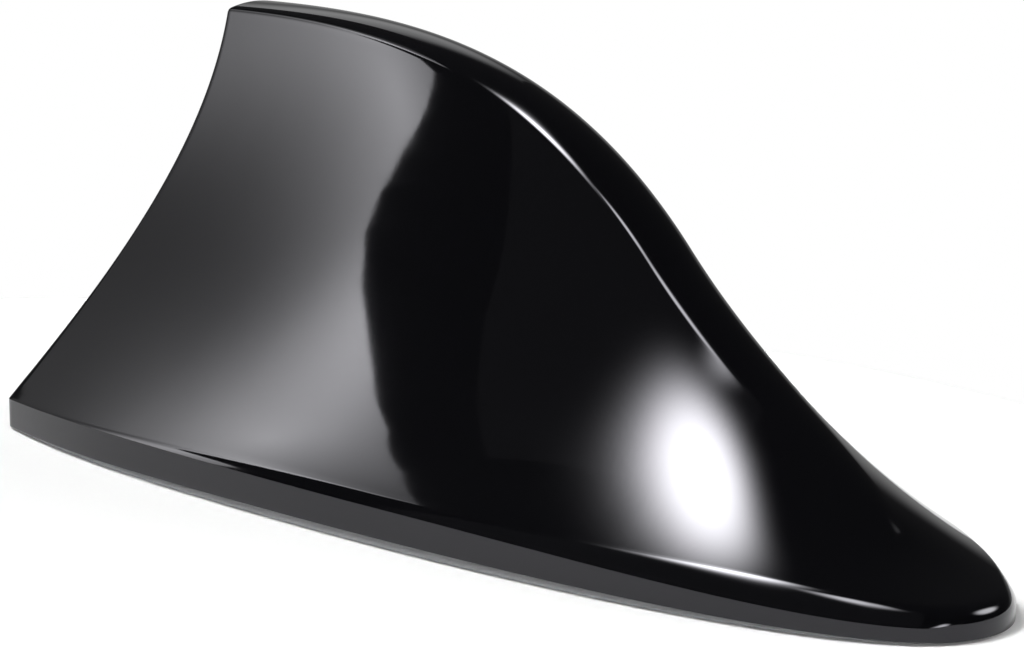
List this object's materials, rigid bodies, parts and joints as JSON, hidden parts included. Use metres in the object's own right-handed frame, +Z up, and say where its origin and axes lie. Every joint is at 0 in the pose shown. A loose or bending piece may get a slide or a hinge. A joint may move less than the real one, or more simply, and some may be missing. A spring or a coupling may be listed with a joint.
{
  "type": "car roof antenna",
  "caption": "Fin-shaped car roof antenna: gloss cover screwed to a sealed base plate, with an amplifier board, a coil and a top plate inside.",
  "frame": {"origin": "on the roof plane, under the middle of the antenna's length and width", "axes": "+X runs forward from the tail to the nose, +Y to the car's left, +Z up from the roof"},
  "size_m": [0.167, 0.0712, 0.0624],
  "materials": {
    "cover": "high gloss",
    "base": "fine texture",
    "roof_seal": "matt",
    "foam_tape": "matt foam",
    "seal": "matt",
    "screw": "zinc plated",
    "board": "solder mask",
    "tinplate": "tinned",
    "chip": "moulded epoxy",
    "ceramic": "fired ceramic",
    "ferrite": "ground ferrite",
    "can": "satin",
    "former": "natural",
    "copper": "enamelled copper",
    "brass": "rolled",
    "foam": "open foam"
  },
  "bodies": {
    "root": {"cover": "cover", "base_plate": "base", "roof_seal": "roof_seal", "adhesive_pad": "foam_tape", "body_seal": "seal", "cover_screws": "screw", "cable_grommet": "seal", "circuit_board": "board", "board_screws": "screw", "shield_can": "tinplate", "amplifier_chip": "chip", "chip_capacitors": "ceramic", "chip_resistors": "chip", "drum_inductor": "ferrite", "electrolytic_capacitor": "can", "coil_former": "former", "antenna_coil": "copper", "coil_lug": "brass", "feed_clip": "brass", "radiator_frame": "former", "top_plate": "tinplate", "damping_pad": "foam"}
  },
  "joints": []
}
